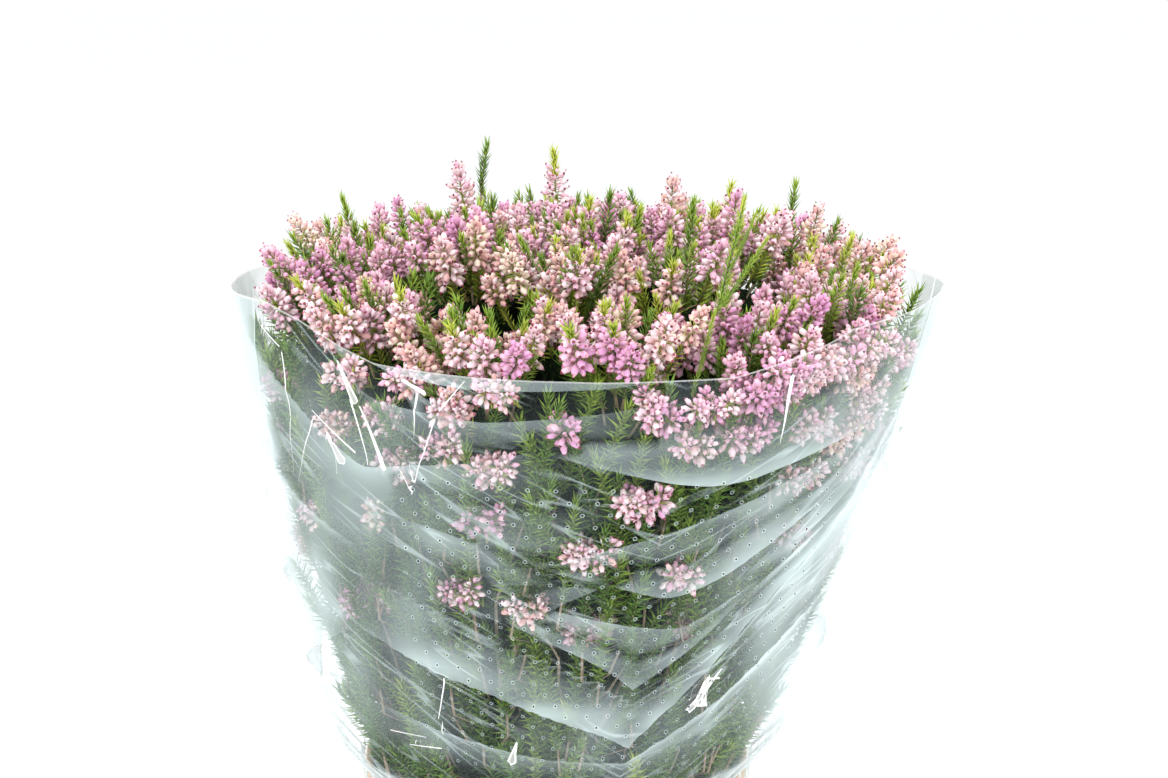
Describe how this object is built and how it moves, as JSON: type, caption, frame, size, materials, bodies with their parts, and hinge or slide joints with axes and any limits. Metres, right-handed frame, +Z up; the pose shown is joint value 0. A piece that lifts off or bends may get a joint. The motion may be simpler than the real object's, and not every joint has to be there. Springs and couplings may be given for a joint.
{
  "type": "potted heath in a clear flower sleeve",
  "caption": "Full winter heath with heads of pink bells over needled stems, in a plain round pot and a clear film sleeve.",
  "frame": {"origin": "middle of the pot's flat base", "axes": "+Z up along the pot's axis; the sleeve and plant lean a little to +X; -Y is the side in the picture"},
  "size_m": [0.4568, 0.4569, 0.6144],
  "materials": {
    "pot": "matt tan plastic",
    "peat": "moist crumbly peat",
    "film": "clear glossy film with fine perforations",
    "leaf": "satin needles on woody stems",
    "flower": "soft waxy petals"
  },
  "bodies": {
    "root": {"flowers_01": "flower", "flowers_02": "flower", "flowers_03": "flower", "flowers_04": "flower", "flowers_05": "flower", "flowers_06": "flower", "flowers_08": "flower", "flowers_10": "flower", "flowers_11": "flower", "flowers_12": "flower", "flowers_13": "flower", "flowers_14": "flower", "flowers_16": "flower", "flowers_17": "flower", "flowers_18": "flower", "flowers_19": "flower", "flowers_20": "flower", "flowers_21": "flower", "low_flowers_09": "flower", "low_flowers_12": "flower", "low_flowers_16": "flower", "low_flowers_17": "flower", "low_flowers_19": "flower", "low_flowers_20": "flower", "low_flowers_21": "flower", "peat": "peat", "pot": "pot", "sleeve": "film", "stem_01": "leaf", "stem_02": "leaf", "stem_03": "leaf", "stem_04": "leaf", "stem_05": "leaf", "stem_06": "leaf", "stem_07": "leaf", "stem_08": "leaf", "stem_09": "leaf", "stem_10": "leaf", "stem_11": "leaf", "stem_12": "leaf", "stem_13": "leaf", "stem_14": "leaf", "stem_15": "leaf", "stem_16": "leaf", "stem_17": "leaf", "stem_18": "leaf", "stem_19": "leaf", "stem_20": "leaf", "stem_21": "leaf"}
  },
  "joints": []
}
